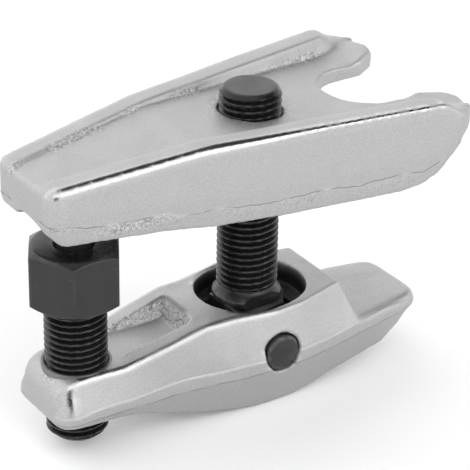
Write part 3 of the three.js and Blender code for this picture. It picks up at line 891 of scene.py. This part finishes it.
def eye():
    """The stud's eye: one grid round the pin's axis, whose rim reaches up into the collar as the neck."""
    turn = angles(EYE_SIDES)
    up = np.sin(turn)
    neck_half = EYE_R - 1.5
    reach = COLLAR_Z[0] + 1.2 - PIN_Z
    tiny = 1e-3
    box = np.minimum(neck_half / np.maximum(np.abs(np.cos(turn)), tiny), reach / np.maximum(up, tiny))
    outline = np.where(up > 0, np.maximum(EYE_R, box), EYE_R)
    inset = outline - 2.6 * smoothstep(up, 0.55, 0.75)
    bore = PIN_R + GAP + 0.05
    edge = 0.7
    profile = [
        (bore, -EYE_HALF + edge), (bore + edge, -EYE_HALF), (inset - edge, -EYE_HALF),
        (inset, -EYE_HALF + edge), (outline, -EYE_HALF + 3.4), (outline, EYE_HALF - 3.4),
        (inset, EYE_HALF - edge), (inset - edge, EYE_HALF), (bore + edge, EYE_HALF), (bore, EYE_HALF - edge),
    ]
    points = []
    for radius, height in profile:
        r = np.zeros(EYE_SIDES) + radius
        points.extend(zip(r * np.cos(turn), np.full(EYE_SIDES, -height), r * np.sin(turn) + PIN_Z))
    return linked("eye", mesh_of("eye", points, hoop_faces(len(profile), EYE_SIDES)))


def flat_cutter(side):
    """A block that cuts one of the collar's two flats, level with the eye's side."""
    top, deep = COLLAR_Z[1] - 0.3, 6
    size = Matrix.Diagonal((40 * MM, deep * MM, (top - PIN_Z) * MM, 1))
    place = Matrix.Translation((0, side * (EYE_HALF + deep / 2) * MM, (top + PIN_Z) / 2 * MM))
    block = bmesh.new()
    bmesh.ops.create_cube(block, size=1)
    bmesh.ops.transform(block, matrix=place @ size, verts=block.verts)
    mesh = bpy.data.meshes.new("flat")
    block.to_mesh(mesh)
    block.free()
    return linked("flat", mesh)


def link_stud(material):
    chamfer = 1.5
    collar_low, collar_high = COLLAR_Z
    envelope = [(STUD_TOP_Z - chamfer, CREST_R + 0.1), (STUD_TOP_Z, CREST_R - chamfer)]
    rows = corner([
        (0, collar_low), (COLLAR_R - 0.6, collar_low), (COLLAR_R, collar_low + 0.6),
        (COLLAR_R, collar_high - 1.7), (COLLAR_R - 1.9, collar_high - 0.2), (ROOT_R + 0.1, collar_high + 0.4),
        (ROOT_R, collar_high + 0.9),
    ], 0.4, 3)
    rows += thread_rows(collar_high + 0.9, STUD_TOP_Z - 0.05, envelope)
    rows += [(CREST_R - chamfer - 0.15, STUD_TOP_Z), (CREST_R - chamfer - 1, STUD_TOP_Z), (0, STUD_TOP_Z)]
    stud = grid_body("link_stud_turned", rows)

    tools = [(flat_cutter(side), "DIFFERENCE") for side in (-1, 1)] + [(eye(), "UNION")]
    for tool, operation in tools:
        step = stud.modifiers.new(operation, "BOOLEAN")
        step.operation = operation
        step.solver = "MANIFOLD"
        step.object = tool
    depsgraph = bpy.context.evaluated_depsgraph_get()
    mesh = bpy.data.meshes.new_from_object(stud.evaluated_get(depsgraph), depsgraph=depsgraph)
    stud.modifiers.clear()
    stud.data = mesh
    for tool, _ in tools:
        bpy.data.objects.remove(tool)
    shade(mesh, SMOOTH_UP_TO)

    x, y, z = coordinates(mesh).T
    radius = np.hypot(x, y)
    threaded = smoothstep(z, collar_high, collar_high + 1)
    crest = threaded * smoothstep(radius, CREST_R - 0.35, CREST_R)
    collar = smoothstep(radius, COLLAR_R - 1.2, COLLAR_R - 0.2) * smoothstep(z, collar_low, collar_low + 1)
    # The crests and the collar are lightened partly as wear and partly as painted highlight.
    edge_wear_and_highlight = np.clip(0.45 * crest + 0.7 * collar, 0, 1)
    wear_and_highlight(stud, edge_wear_and_highlight, 0.85 * threaded * smoothstep(-z, -STUD_TOP_Z + 0.1, -STUD_TOP_Z + 0.4))
    finish_piece(stud, "link_stud", "link", material)


def cross_pin(material):
    half = PIN_LENGTH / 2
    bevel = 0.8
    profile = corner([
        (0, -half), (PIN_R - bevel, -half), (PIN_R, -half + bevel),
        (PIN_R, half - bevel), (PIN_R - bevel, half), (0, half),
    ], 0.2, 2)
    piece = grid_body("cross_pin_turned", profile, sharp=28)
    x, y, z = coordinates(piece.data).T
    to_corner = PIN_R + half - np.hypot(x, y) - np.abs(z)
    wear_and_highlight(piece, smoothstep(-to_corner, -1.2, -0.6))
    piece.data.transform(Matrix.Rotation(math.pi / 2, 4, "X"))
    piece.data.transform(Matrix.Translation((0, 0, PIN_Z * MM)))
    finish_piece(piece, "cross_pin", "lower", material)


def thrust_pin(material):
    """The post: dished where it stands on the ball, grooved for the ring, domed where it pushes."""
    bottom = BALL_Z + BALL_R + GAP
    top = CHANNEL_TOP_Z - GAP
    groove = POST_R - 0.9
    profile = corner([
        (0, bottom + 0.9), (POST_R - 2, bottom), (POST_R - 0.5, bottom), (POST_R, bottom + 0.5),
        (POST_R, RING_Z - 1), (groove, RING_Z - 1), (groove, RING_Z + 1), (POST_R, RING_Z + 1),
        (POST_R, top - 2.2), (POST_R - 1.1, top - 0.9), (POST_R - 3, top - 0.15), (0, top),
    ], 0.25, 3)
    piece = grid_body("thrust_pin_turned", profile)
    z = coordinates(piece.data)[:, 2]
    wear_and_highlight(piece, smoothstep(z, top - 2.5, top - 0.6))
    piece.data.transform(Matrix.Translation((SCREW_X * MM, 0, 0)))
    finish_piece(piece, "thrust_pin", "thrust", material)


def thrust_ball(material):
    tilt = np.linspace(-math.pi / 2, math.pi / 2, 37)
    rows = [(BALL_R * math.cos(t), BALL_Z + BALL_R * math.sin(t)) for t in tilt]
    piece = grid_body("thrust_ball_ground", rows, sharp=60)
    piece.data.transform(Matrix.Translation((SCREW_X * MM, 0, 0)))
    finish_piece(piece, "thrust_ball", "thrust", material)


def retaining_ring(material):
    """Round wire bent into an open ring, with rounded ends; the opening is an angle in radians."""
    wire, opening, sides, steps = 0.4, 0.5, 16, 120
    radius = POST_R + GAP + wire
    points, faces = [], []
    for s in range(steps + 1):
        turn = opening / 2 + (2 * math.pi - opening) * s / steps
        from_end = min(s, steps - s) / 2.0
        r = wire * (math.sqrt(1 - (1 - min(from_end, 1)) ** 2) if from_end < 1 else 1)
        for k in range(sides):
            a = 2 * math.pi * k / sides
            reach = radius + r * math.cos(a)
            points.append((reach * math.cos(turn), reach * math.sin(turn), RING_Z + r * math.sin(a)))
    for s in range(steps):
        for k in range(sides):
            a, b = s * sides + k, s * sides + (k + 1) % sides
            faces.append((a, b, b + sides, a + sides))
    mesh = mesh_of("retaining_ring_wire", points, faces)
    solid = bmesh.new()
    solid.from_mesh(mesh)
    bmesh.ops.remove_doubles(solid, verts=solid.verts, dist=0.001 * MM)
    bmesh.ops.recalc_face_normals(solid, faces=solid.faces)
    solid.to_mesh(mesh)
    solid.free()
    shade(mesh, 60)
    mesh.transform(Matrix.Translation((SCREW_X * MM, 0, 0)))
    finish_piece(linked(mesh.name, mesh), "retaining_ring", "screw", material)


# ------------------------------------------------------------------ the scene
bpy.context.scene.view_settings.view_transform = "Standard"
camera()
world()
floor()
area_light("key", (-0.5, -0.9, 0.9), (0, 0, 0.05), (0.8, 0.8), 1.5)
plated = plated_forging()
oxide = black_oxide()
steel = bare_steel()
upper_jaw(plated)
lower_jaw(plated)
jaw_thread("lower_jaw_thread", "lower_jaw", "lower", SCREW_X, LOWER_BORE_Z, plated)
jaw_thread("upper_jaw_thread", "upper_jaw", "upper", 0, UPPER_BORE_Z, plated)
link_stud(oxide)
cross_pin(oxide)
screw(oxide)
thrust_pin(oxide)
thrust_ball(steel)
retaining_ring(steel)
